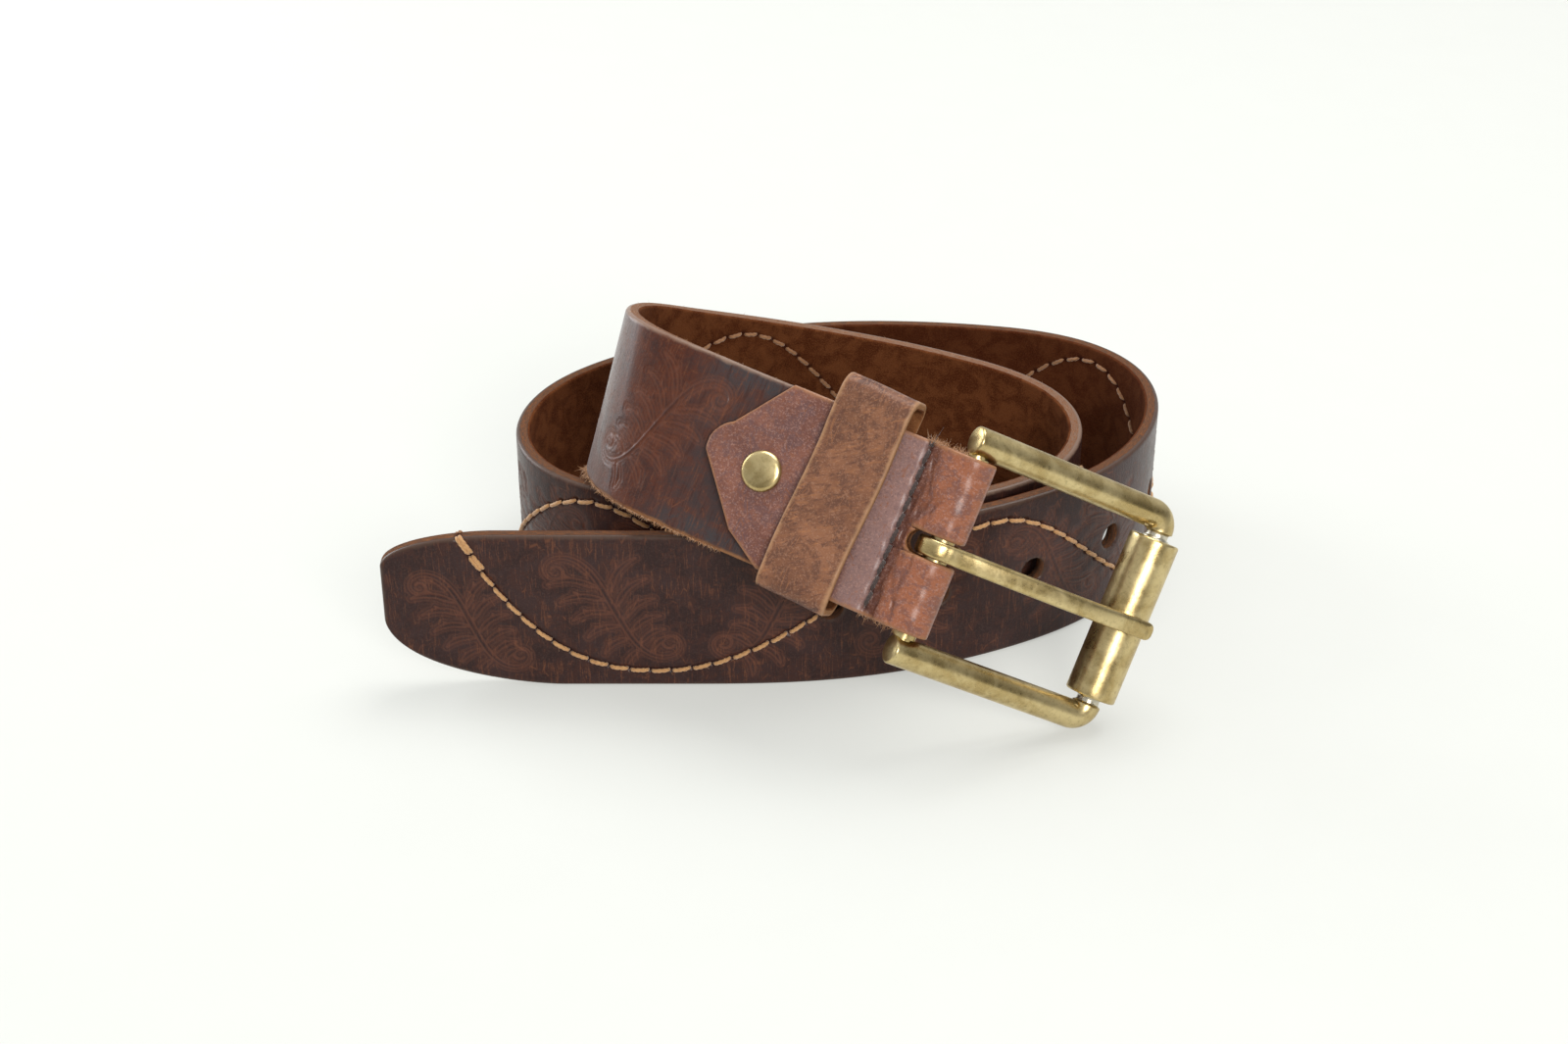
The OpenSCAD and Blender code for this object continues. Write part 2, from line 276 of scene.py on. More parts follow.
def ring_mesh(centres, e1, e2, offsets, closed=False):
    """Vertices, quads and end fans of N tubes of T rings with K points each."""
    verts = centres[:, :, None] + e1[:, :, None] * offsets[..., :1] + e2[:, :, None] * offsets[..., 1:]
    n, t, k = verts.shape[:3]
    grid = np.arange(n * t * k).reshape(n, t, k)
    if closed:
        grid = np.concatenate([grid, grid[:, :1]], 1)
    side = np.roll(grid, -1, 2)
    quads = np.stack([grid[:, :-1], side[:, :-1], side[:, 1:], grid[:, 1:]], -1).reshape(-1, 4)
    verts = verts.reshape(-1, 3)
    if closed:
        return verts, quads, ()
    tips = n * t * k + np.arange(2 * n).reshape(n, 2)
    caps = []
    for ring, tip, flip in ((grid[:, 0], tips[:, :1], 1), (grid[:, -1], tips[:, 1:], -1)):
        nxt = np.roll(ring, -1, 1)
        fan = np.stack([np.broadcast_to(tip, ring.shape), nxt, ring], -1)[..., ::flip]
        caps.append(fan.reshape(-1, 3))
    middles = np.stack([centres[:, 0], centres[:, -1]], 1).reshape(-1, 3)
    return np.concatenate([verts, middles]), quads, np.concatenate(caps)


def unit(v):
    return v / np.maximum(np.linalg.norm(v, axis=-1, keepdims=True), 1e-9)


def tube_frames(centres, ups):
    """Side directions of tubes whose section's first axis follows ups."""
    run = unit(np.gradient(centres, axis=1))
    e1 = unit(ups - run * (ups * run).sum(-1, keepdims=True))
    return e1, np.cross(run, e1)


def circle(count):
    """Angles of evenly spread points on a circle."""
    return np.arange(count) * 2 * np.pi / count


def discs(radius, a):
    """Offsets of round sections at the angles a."""
    return np.stack([radius * np.cos(a), radius * np.sin(a)], -1)


def arc(centre, r, start, stop, count):
    """Points on an arc between two angles in degrees."""
    return np.array(centre) + discs(r, np.radians(np.linspace(start, stop, count)))


def run_length(a, b):
    """Distance run along a line of points."""
    return np.concatenate([[0], np.cumsum(np.hypot(np.diff(a), np.diff(b)))])


def bent(u, run, a, b):
    """Points at run lengths u of a bent sheet's middle line, and the direction to its left."""
    da, db = (np.interp(u + 0.3, run, v) - np.interp(u - 0.3, run, v) for v in (a, b))
    long = np.hypot(da, db)
    return np.interp(u, run, a), np.interp(u, run, b), -db / long, da / long


def per_vertex(verts, *parts):
    """A vector for each vertex of a ring mesh, with zeros for the middles of its end fans."""
    values = np.stack(np.broadcast_arrays(*parts), -1).reshape(-1, 3)
    return np.concatenate([values, np.zeros((len(verts) - len(values), 3))])


def rounded(d, bevel, height):
    """Half thickness at a distance d from the edge."""
    t = 1 - np.clip(d / bevel, 0, 1)
    return height - bevel * (1 - np.sqrt(1 - t * t))


def spread(length, step, edge=(0.07, 0.2, 0.4, 0.7, 1.1)):
    """Positions from 0 to length, closer together near both ends."""
    edge = np.array(edge)
    count = max(int((length - 2 * edge[-1]) / step), 2)
    middle = np.linspace(edge[-1], length - edge[-1], count + 1)
    return np.concatenate([[0], edge[:-1], middle, length - edge[:-1][::-1], [length]])


# ---- Embossed scrolls and stitch lines
class Relief:
    """A height map over the strap's face, in its own s and w."""

    def __init__(self):
        self.shape = (int(TOTAL / RASTER) + 2, int(STRAP_W / RASTER) + 2)
        self.outline = np.full(self.shape, 9.0)
        self.beads = np.zeros(self.shape)
        self.pits = np.zeros(self.shape)
        self.groove = np.zeros(self.shape)

    def stamp(self, layer, s, w, reach, value, join):
        i0, i1 = int(max(s - reach, 0) / RASTER), int((s + reach) / RASTER) + 2
        j0, j1 = int(max(w - reach, 0) / RASTER), int((w + reach) / RASTER) + 2
        part = layer[i0:i1, j0:j1]
        if not part.size:
            return
        ds = (np.arange(i0, i0 + part.shape[0]) * RASTER - s)[:, None]
        dw = (np.arange(j0, j0 + part.shape[1]) * RASTER - w)[None]
        part[...] = join(part, value(np.hypot(ds, dw)))

    def stroke(self, points):
        for s, w, half in points:
            self.stamp(self.outline, s, w, half + 2, lambda r, h=half: r - h, np.minimum)

    def dot(self, layer, s, w, radius):
        self.stamp(layer, s, w, 3 * radius, lambda r: np.exp(-(r / radius) ** 2), np.maximum)

    def sample(self, layer, s, w):
        x = np.clip(s / RASTER, 0, self.shape[0] - 1.01)
        y = np.clip(w / RASTER, 0, self.shape[1] - 1.01)
        i, j = x.astype(int), y.astype(int)
        u, v = x - i, y - j
        return ((layer[i, j] * (1 - u) + layer[i + 1, j] * u) * (1 - v)
                + (layer[i, j + 1] * (1 - u) + layer[i + 1, j + 1] * u) * v)


def leaf(root, heading, length, curl, width):
    """A curved, pointed leaf that grows from its root."""
    t = np.linspace(0, 1, int(length / 0.25))
    a = heading + curl * t ** 1.3
    step = length / len(t)
    half = width * np.sin(np.pi * np.clip(t * 0.9 + 0.06, 0, 1)) ** 0.7
    return np.stack([root[0] + np.cumsum(np.cos(a)) * step, root[1] + np.cumsum(np.sin(a)) * step,
                     half], -1)


def scroll(relief, start, end, mirror):
    """A leafy S-scroll: a stem that winds into an eye at each end, a beaded edge round its
    first eye, and two fans of long leaves that sweep back from its middle."""
    t = np.linspace(-1, 1, 480)
    curvature = 27.0 * np.sign(t) * np.abs(t) ** 2.2
    heading = np.cumsum(curvature) * (t[1] - t[0])
    path = np.cumsum(np.exp(1j * heading)) * (t[1] - t[0])
    path = path if mirror > 0 else np.conj(path)
    a, b = complex(*start), complex(*end)
    turn = (b - a) / (path[-1] - path[0])
    path = (path - path[0]) * turn + a
    half = 0.12 + 0.45 * (1 - np.abs(t) ** 1.6)
    relief.stroke(np.stack([path.real, path.imag, half], -1))
    run = np.gradient(path)
    run /= np.abs(run)
    for k in range(36, 250, 9):
        p = path[k] - 1j * mirror * run[k] * (half[k] + 0.9)
        relief.dot(relief.beads, p.real, p.imag, 0.34)
    for i in range(LEAVES):
        for side in (-1, 1):
            k = 205 + 26 * i + 9 * side
            root = path[k] + 1j * side * run[k] * half[k]
            angle = np.angle(run[k]) + side * (2.55 - 0.16 * i)
            length = abs(b - a) * (0.36 - 0.035 * i)
            relief.stroke(leaf((root.real, root.imag), angle, length, -side * 1.0, 0.55))
            relief.stroke(leaf((root.real, root.imag), angle - side * 0.3, 0.7 * length,
                               side * 0.5, 0.3))


def wave_w(s):
    """Height of the wave stitching above the strap's lower edge."""
    first = WAVE_TURNS[0]
    lead = np.clip((first - s) / (first - WAVE_START), 0, 1) ** LEAD_POWER
    phase = np.interp(s, WAVE_TURNS, np.pi * np.arange(len(WAVE_TURNS)))
    wave = WAVE_LOW + (WAVE_HIGH - WAVE_LOW) * (1 - np.cos(phase)) / 2
    return np.where(s < first, WAVE_LOW + (STRAP_W - LEAD_RIM - WAVE_LOW) * lead, wave)


def stitch_points():
    """Needle holes along the wave, one stitch apart."""
    s = np.linspace(WAVE_START, WAVE_END, 30000)
    run = run_length(s, wave_w(s))
    marks = np.interp(np.arange(0, run[-1], STITCH), run, s)
    return marks, wave_w(marks)


def emboss():
    """All the scrollwork, the stitch groove and the needle holes."""
    relief = Relief()
    for i, (middle, reach) in enumerate(BAYS):
        far, near, mirror = (9.0, 28.0, 1) if i % 2 else (30.0, 10.5, -1)
        for way in (-1, 1):
            scroll(relief, (middle + way * reach, far), (middle + way * 5.0, near), mirror * way)
    scroll(relief, (7.5, 26.0), (30.0, 7.5), 1)
    marks, heights = stitch_points()
    for s, w in zip(marks, heights):
        relief.dot(relief.pits, s, w, 0.72)
    s = np.linspace(WAVE_START, WAVE_END, 3200)
    for p, q in zip(s, wave_w(s)):
        relief.dot(relief.groove, p, q, 0.75)
    return relief


# ---- Leather
def strap_grid():
    """Places on the strap's face, finer near its tip and its raised bend, and its edges."""
    tip = np.array([0, 0.08, 0.2, 0.4, 0.7])
    (a, b), (c, d) = FINE_S
    parts = [(a, b, GRID_FINE), (b, c, GRID_S), (c, d, GRID_FINE), (d, STRAP_END - 0.3, GRID_S)]
    body = [np.arange(p, q - 0.5 * step, step) for p, q, step in parts]
    rows = np.concatenate([tip, *body, [STRAP_END - 0.3, STRAP_END]])
    cols = spread(STRAP_W, GRID_W) / STRAP_W
    s, f = np.meshgrid(rows, cols, indexing="ij")
    lo, hi = trim(s, TIP_LOW), STRAP_W - trim(s, TIP_HIGH)
    return s, lo + (hi - lo) * f, lo, hi


def snap_to_hole(s, w, centre, radius, band):
    """Moves the grid points beside a round hole onto its edge."""
    ds, dw = s - centre[0], w - centre[1]
    r = np.hypot(ds, dw)
    near = np.abs(r - radius) < band
    k = np.where(near, radius / np.maximum(r, 1e-6), 1)
    s[...] = centre[0] + ds * k
    w[...] = centre[1] + dw * k
    return np.hypot(s - centre[0], w - centre[1])


def strap(relief, material):
    """One sheet with its relief, its holes with pressed-in rims, and bevelled edges."""
    s, w, lo, hi = strap_grid()
    keep = np.ones((s.shape[0] - 1, s.shape[1] - 1), bool)
    rim = np.full(s.shape, 9.0)
    for hole in HOLES:
        r = snap_to_hole(s, w, (hole, STRAP_W / 2), HOLE_R, 0.62 * GRID_S)
        inside = r < HOLE_R - 1e-4
        keep &= ~(inside[:-1, :-1] | inside[1:, :-1] | inside[:-1, 1:] | inside[1:, 1:])
        rim = np.minimum(rim, r - HOLE_R)
    edge = np.minimum(np.minimum(w - lo, hi - w), np.minimum(s, STRAP_END - s))
    outline = relief.sample(relief.outline, s, w)
    line = np.exp(-(outline / 0.22) ** 2)
    second = np.exp(-((outline - 0.75) / 0.2) ** 2)
    ink = line + 0.6 * second
    beads = relief.sample(relief.beads, s, w)
    pits = relief.sample(relief.pits, s, w)
    groove = relief.sample(relief.groove, s, w)
    calm = np.clip((edge - 1.2) / 1.5, 0, 1) * np.clip((rim - 0.6) / 1.5, 0, 1)
    relief_n = calm * (0.05 * np.clip(-outline * 2, 0, 1) - 0.2 * line - 0.12 * second
                       + 0.12 * beads)
    relief_n -= 0.14 * groove + 0.5 * pits
    lip = 0.3 * np.exp(-np.maximum(rim, 0) / 0.45)
    front = rounded(edge, FRONT_BEVEL, HALF_T) + relief_n - lip
    back = rounded(edge, BACK_BEVEL, HALF_T) - 0.6 * lip - 0.3 * pits
    ink = np.clip(ink + 0.5 * beads, 0, 1) * calm
    edge = np.minimum(edge, np.maximum(rim, 0) + 0.25)
    # Painted shade: the pits mark darkens the needle holes in the leather's colour.
    shell("strap_leather", on_strap(s, w, front), on_strap(s, w, -back), keep, (s, w),
          ((ink, pits, edge), (0 * ink, pits, edge)), node="strap", slot="strap_leather",
          material=material)


def chape_outline(x):
    """Lower and upper edge of the chape at distances x along it."""
    low = np.vstack([arc(NOSE, NOSE_R, 180, 197, 6), *LOW_SHOULDER, (PAST_FOLD, -CHAPE_Y)])
    high = np.vstack([arc(NOSE, NOSE_R, 180, 115, 24), HIGH_SHOULDER, (PAST_FOLD, CHAPE_Y)])
    return np.interp(x, *low.T), np.interp(x, *high.T)


def chape_path():
    """The chape's middle line from the front tail round the fold to the back tail: run
    length, x and z."""
    left = NOSE[0] - NOSE_R
    flat = np.linspace(left + RIM_ROWS[-1], SLOPE_X, int((SLOPE_X - left) / SHEET_STEP))
    flat = np.concatenate([left + np.array(RIM_ROWS[:-1]), flat])
    t = np.linspace(0, 1, 20)[1:-1]
    slope_x = SLOPE_X + (BAR_X - SLOPE_X) * t
    slope_z = FLAP_MID + (FOLD_MID - FLAP_MID) * t * t * (3 - 2 * t)
    fold_x, fold_z = arc((BAR_X, 0), FOLD_MID, 90, -90, 40).T
    x = np.concatenate([flat, slope_x, fold_x, slope_x[::-1], flat[::-1]])
    z = np.concatenate([0 * flat + FLAP_MID, slope_z, fold_z, -slope_z[::-1],
                        0 * flat - FLAP_MID])
    return run_length(x, z), x, z


def creases(x, y):
    """Deep folds beside the seam, fading over the bar."""
    total = 0 * x
    for k in range(26):
        centre = -13.2 + 5.8 * rng.random() ** 1.3
        slope, mid = rng.normal(0, 0.16), rng.uniform(-19, 19)
        long, wide = rng.uniform(3, 9), rng.uniform(0.22, 0.5)
        bow = 0.35 * np.sin(y * rng.uniform(0.3, 0.8) + k)
        line = np.exp(-((x - centre - slope * (y - mid) - bow) / wide) ** 2)
        total += line * np.exp(-((y - mid) / long) ** 2) * rng.uniform(0.4, 1)
    return np.clip(total, 0, 1.4)


def chape(material):
    """One sheet round the bar, with a slot for the prong, the seam's groove and soft folds."""
    run, px, pz = chape_path()
    cols = np.unique(np.round(np.concatenate([
        spread(2 * CHAPE_Y, CHAPE_STEP) - CHAPE_Y,
        PRONG_Y + SLOT_W / 2 * np.array([-1, 1])]), 3))
    cols = cols[np.concatenate([[True], np.diff(cols) > 0.03])]
    u, f = np.meshgrid(run, (cols + CHAPE_Y) / (2 * CHAPE_Y), indexing="ij")
    slot_y = (f * 2 - 1) * CHAPE_Y - PRONG_Y
    bow = np.where(np.abs(slot_y) < SLOT_W / 2, SLOT_W / 2 - np.sqrt(
        np.maximum((SLOT_W / 2) ** 2 - slot_y ** 2, 0)), 0)
    fold_u = run[len(run) // 2]
    front_slot = np.interp(SLOT_END, px[:len(px) // 2], run[:len(px) // 2])
    back_slot = 2 * fold_u - front_slot
    for mark, sign in ((front_slot, 1), (back_slot, -1)):
        u = u + sign * bow * np.clip(1 - np.abs(u - mark) / 5, 0, 1)
    x, z, nx, nz = bent(u, run, px, pz)
    lo, hi = chape_outline(x)
    y = lo + (hi - lo) * f
    rows = (run[:-1] + run[1:]) / 2
    slot_rows = (rows > front_slot) & (rows < back_slot)
    in_slot = np.abs((slot_y[0, :-1] + slot_y[0, 1:]) / 2) < SLOT_W / 2 - 0.01
    keep = ~(slot_rows[:, None] & in_slot[None])
    rim = np.where((u > front_slot - 0.1) & (u < back_slot + 0.1),
                   np.abs(np.abs(slot_y) - SLOT_W / 2), 9)
    edge = np.minimum(np.minimum(y - lo, hi - y), (x - px.min()) * 1.2)
    edge = np.minimum(edge, rim)
    face = np.where(u < fold_u, 1.0, 0.3)
    groove = np.exp(-((x - SEAM_X) / 0.75) ** 2)
    fold = creases(x, y) * np.clip((x - SEAM_X - 0.3) / 0.8, 0, 1)
    holes = 0 * x
    for i in range(SEAM_COUNT + 1):
        hole_y = (i - SEAM_COUNT / 2) * SEAM_PITCH
        holes = np.maximum(holes, np.exp(-((x - SEAM_X) ** 2 + (y - hole_y) ** 2) / 0.3))
    puff = 0.6 * np.exp(-((x + 8.6) / 2.8) ** 2) + 0.15 * np.exp(-((x + 16.5) / 1.6) ** 2)
    wave = 0.07 * np.sin(y * 0.55 + 1) * np.sin(x * 0.4) + 0.05 * np.sin(y * 1.3 + x * 0.7)
    height = rounded(edge, 0.55, CHAPE_T / 2)
    height = height + face * (puff + wave - 0.5 * groove - 0.5 * fold - 0.4 * holes)
    sink = rounded(edge, 0.35, CHAPE_T / 2)
    # Painted shade: the first mark darkens the creases and the seam's groove, and the second darkens
    # the needle holes.
    marks = (np.clip(fold + 0.6 * groove, 0, 1), holes, edge)
    shell("chape_leather", at_end(x + nx * height, y, z + nz * height),
          at_end(x - nx * sink, y, z - nz * sink), keep, (x, y), (marks, marks),
          node="chape", slot="chape_leather", material=material)


def keeper_frame(x, y, z):
    """From the middle of the keeper's loop, turned by its skew."""
    c, s = math.cos(KEEPER_SKEW), math.sin(KEEPER_SKEW)
    y = y + (KEEPER_LO[0] + KEEPER_HI[0]) / 2
    return at_end(KEEPER_X + x * c - y * s, x * s + y * c, z + KEEPER_MID_Z)


def keeper(material):
    """A band closed round the strap, its two ends butted together at the back."""
    half_y = (KEEPER_HI[0] - KEEPER_LO[0] + KEEPER_T) / 2
    half_z = (KEEPER_HI[1] - KEEPER_LO[1] + KEEPER_T) / 2
    r = KEEPER_CORNER + KEEPER_T / 2
    corners = [arc((cy * (half_y - r), cz * (half_z - r)), r, a, a + 90, 15)
               for cy, cz, a in ((1, -1, -90), (1, 1, 0), (-1, 1, 90), (-1, -1, 180))]
    path = np.vstack([(KEEPER_GAP / 2, -half_z), *corners, (-KEEPER_GAP / 2, -half_z)]).T
    run = run_length(*path)
    rows = np.linspace(0, run[-1], KEEPER_ROWS)
    cols = spread(KEEPER_W, SHEET_STEP) - KEEPER_W / 2
    u, x = np.meshgrid(rows, cols, indexing="ij")
    y, z, ny, nz = bent(u, run, *path)
    edge = KEEPER_W / 2 - np.abs(x)
    front = np.clip((z - half_z * 0.6) / (half_z * 0.4), 0, 1)
    sag = front * (-0.35 * np.cos(np.pi * y / (2 * half_y)) ** 2 + 0.1 * np.sin(y * 0.35 + 1))
    x_here = x + 0.18 * np.sin(y * 0.21 + 0.6) * front
    height = rounded(edge, 0.5, KEEPER_T / 2) + 0.05 * np.sin(y * 0.9 + x * 0.5)
    sink = rounded(edge, 0.35, KEEPER_T / 2)
    marks = (front, 0 * u, edge)
    shell("keeper_leather", keeper_frame(x_here, y - ny * height, z - nz * height + sag),
          keeper_frame(x_here, y + ny * sink, z + nz * sink + sag),
          np.ones((u.shape[0] - 1, u.shape[1] - 1), bool), (x, u), (marks, marks),
          body="keeper_loop", node="keeper", slot="keeper_leather", material=material)


# ---- Thread and fibres
def thread_mesh(name, ends, radius, lift, plies, **kwargs):
    """Stitches: ends is a function of t in 0..1 that gives points of all stitches on the
    surface and its outward direction; each stitch dives into the leather at both ends."""
    t = np.linspace(0, 1, 15)
    base, out = ends(t)
    dive = np.abs(2 * t - 1) ** 7
    centres = base + out * (lift - (lift + 0.9 * radius) * dive)[None, :, None]
    e1, e2 = tube_frames(centres, out)
    a = circle(10)
    length = np.linalg.norm(centres[:, -1] - centres[:, 0], axis=-1)[:, None, None]
    turn = 2 * np.pi * t[None, :, None] * length / (5 * radius)
    thick = radius * (1 - 0.3 * dive)[None, :, None] * (1 + plies * np.cos(2 * (a - turn)))
    verts, quads, tris = ring_mesh(centres, e1, e2, discs(thick, a))
    place = t[None, :, None] * length + 3 * np.arange(len(base))[:, None, None]
    mesh_object(name, verts, quads, tris,
                attributes={"st": per_vertex(verts, place, a * radius, 1.0)}, **kwargs)


def clear_of_hole(a, b, centre):
    """Stitches cut back to a punched hole's rim, without those that lie inside it."""
    reach = HOLE_R + 0.45
    da, db = (np.hypot(*(p - centre).T) for p in (a, b))
    cut = ((reach - np.minimum(da, db)) / np.maximum(np.abs(da - db), 1e-6))[:, None]
    cut = np.where(np.minimum(da, db)[:, None] < reach, cut, 0)
    first = (da < db)[:, None]
    a, b = np.where(first, a + (b - a) * cut, a), np.where(first, b, b + (a - b) * cut)
    keep = (np.maximum(da, db) > reach) & (cut[:, 0] < 0.75)
    keep &= np.hypot(*((a + b) / 2 - centre).T) > reach - 0.2
    return a[keep], b[keep]


def wave_stitches(side, name, node, material, gap, lift):
    """Separate stitches between the needle holes, with two more beside the first two."""
    s, w = stitch_points()
    a = np.stack([s[:-1], w[:-1]], -1)
    b = np.stack([s[1:], w[1:]], -1)
    run = unit(b - a)
    across = np.stack([-run[:, 1], run[:, 0]], -1) * side
    a, b = a + gap * run - 0.14 * across, b - gap * run + 0.14 * across
    a[0] -= 0.9 * run[0]
    first = np.stack([a[:2], b[:2]], 1) + 0.75 * across[:2, None]
    a, b = np.concatenate([a, first[:, 0]]), np.concatenate([b, first[:, 1]])
    for hole in HOLES:
        a, b = clear_of_hole(a, b, np.array([hole, STRAP_W / 2]))

    def ends(t):
        p = a[:, None] + (b - a)[:, None] * t[None, :, None]
        return on_strap(p[..., 0], p[..., 1], side * HALF_T), at(p[..., 0])[3] * side

    thread_mesh(name, ends, THREAD_R * 0.92, lift, 0.12, node=node, slot="thread",
                material=material)


def straight_stitches(name, place, x, y, reach, z, out, lift, **kwargs):
    """Stitches on a flat face. Each runs by reach to both sides of its x and y."""
    def ends(t):
        way = 2 * t[None] - 1
        return place(x[:, None] + reach[0] * way, y[:, None] + reach[1] * way, z), out

    thread_mesh(name, ends, SEAM_THREAD_R, lift, 0.14, slot="seam_thread", **kwargs)


def seam_stitches(side, name, node, material):
    y = (np.arange(SEAM_COUNT) - (SEAM_COUNT - 1) / 2) * SEAM_PITCH
    straight_stitches(name, at_end, 0 * y + SEAM_X, y, (0.14, SEAM_PITCH / 2 - SEAM_GAP),
                      side * (HALF_T + SKIN + CHAPE_T - 0.25), END[3] * side, 0.12, node=node,
                      material=material)


def keeper_stitches(material):
    x = np.array([-5.0, 0.0, 5.0])
    straight_stitches("keeper_stitches", keeper_frame, x, 0 * x, (0.3, 2.4),
                      KEEPER_LO[1] - KEEPER_T - KEEPER_MID_Z, -END[3], 0.15,
                      body="keeper_loop", node="keeper_seam", material=material)


def hairs(roots, heads, length, thick, curl):
    """Fine curved fibres that taper to a point, as one ring mesh."""
    t = np.linspace(0, 1, 6)
    n = len(roots)
    bend = unit(rng.normal(size=(n, 3)))
    long = length * rng.uniform(0.35, 1, n)
    line = heads[:, None] * t[None, :, None] + curl * bend[:, None] * (t ** 2)[None, :, None]
    centres = roots[:, None] + line * long[:, None, None]
    e1, e2 = tube_frames(centres, unit(rng.normal(size=(n, 1, 3))))
    size = thick * (1 - 0.8 * t)[None, :, None] * rng.uniform(0.6, 1, n)[:, None, None]
    return ring_mesh(centres, e1, e2, discs(size, circle(3)))


def join(parts):
    """Joins several (verts, quads, tris) into one."""
    verts, quads, tris, base = [], [], [], 0
    for v, q, t in parts:
        verts.append(v)
        quads.append(q + base)
        tris.append(np.asarray(t) + base)
        base += len(v)
    return np.concatenate(verts), np.concatenate(quads), np.concatenate(tris)


def strap_fuzz(s, w, n, spread_n, length, thick, curl, down):
    """Fibres on the strap's edge at distances s from the tip."""
    _, along, across, out = at(s)
    roots = on_strap(s, w, n + rng.uniform(-spread_n, spread_n, len(s)))
    heads = unit(down * across + 0.5 * out * rng.normal(size=(len(s), 1))
                 + 0.8 * along * rng.normal(size=(len(s), 1)))
    return hairs(roots, heads, length, thick, curl)


def fibres(material, dark):
    """Loose fibres on the strap's two edges, in a tuft under its bend, on the wave's thread
    and beside the fold, and the loose ends of the seam's thread."""
    low = rng.uniform(650, 762, 2400)
    top = rng.uniform(560, 760, 160)
    tuft = rng.normal(713, 1.6, 220)
    s = rng.uniform(WAVE_START, WAVE_END, 620)
    parts = [strap_fuzz(low, 0.2, 0.5, 1.1, 0.75, 0.13, 0.9, -1),
             strap_fuzz(top, STRAP_W - 0.1, 0, 1.1, 0.6, 0.06, 0.7, 1),
             strap_fuzz(tuft, 0.3, 0.6, 1.0, 2.6, 0.15, 0.9, -1)]
    _, along, across, out = at(s)
    roots = on_strap(s, wave_w(s) + rng.normal(0, 0.25, len(s)), HALF_T + 0.35)
    heads = unit(out * 0.7 + along * rng.normal(size=(len(s), 1))
                 + across * rng.normal(size=(len(s), 1)))
    parts.append(hairs(roots, heads, 0.9, 0.05, 0.7))
    n = 260
    side = rng.choice([-1, 1], n, p=[0.35, 0.65])
    x = np.where(side > 0, rng.uniform(-15, -6, n), rng.uniform(-15, -4, n))
    roots = at_end(x, side * (CHAPE_Y - 0.1), rng.uniform(1.8, 3.8, n))
    heads = unit(END[2] * side[:, None] + rng.normal(size=(n, 3)) * 0.6)
    parts.append(hairs(roots, heads, 1.3, 0.08, 0.9))
    mesh_object("leather_fibres", *join(parts), slot="thread", material=material)
    n = 7
    roots = at_end(SEAM_X + rng.normal(0, 0.3, n), CHAPE_Y - 1.2, 3.6)
    heads = unit(END[2] + END[3] * 0.3 + END[1] * 0.6 + rng.normal(size=(n, 3)) * 0.3)
    mesh_object("seam_thread_ends", *hairs(roots, heads, 3.4, 0.13, 0.8), slot="seam_thread",
                material=dark)


# ---- Metal
def lathe(name, profile, place, axis, closed=False, **kwargs):
    """Turns a profile of (radius, height) about an axis through place."""
    profile = np.array(profile, float)
    side = unit(np.cross(axis, [0.3, 0.2, 1.0]))
    a = circle(96)
    centres = (place + profile[:, 1:] * axis)[None]
    e1, e2 = (np.broadcast_to(v, centres.shape) for v in (side, np.cross(axis, side)))
    verts, quads, tris = ring_mesh(centres, e1, e2, discs(profile[:, :1], a)[None], closed)
    st = per_vertex(verts, profile[:, 1:], a * profile[:, 0].max(), profile[:, :1])
    mesh_object(name, verts, quads, tris, attributes={"st": st}, **kwargs)


def rivet(material):
    """A low dome with a rounded rim, on a short shank."""
    dome = [(r, RIVET_H - 0.3 * (r / 3.6) ** 2) for r in np.linspace(3.5, 0.05, 9)]
    rim = [(RIVET_R - inset, z) for inset, z in RIVET_RIM]
    lathe("rivet_head", [(SHANK_R, -0.4), (SHANK_R, 0.02)] + rim + dome,
          at_end(RIVET_X, 0, HALF_T + SKIN + CHAPE_T), END[3], node="rivet_cap", slot="brass",
          material=material)


def section(corner, points=32):
    """Offsets of a square section whose corners are rounded off."""
    a = circle(points)
    c, s = np.cos(a), np.sin(a)
    return np.stack([np.sign(c) * np.abs(c) ** corner, np.sign(s) * np.abs(s) ** corner], -1)


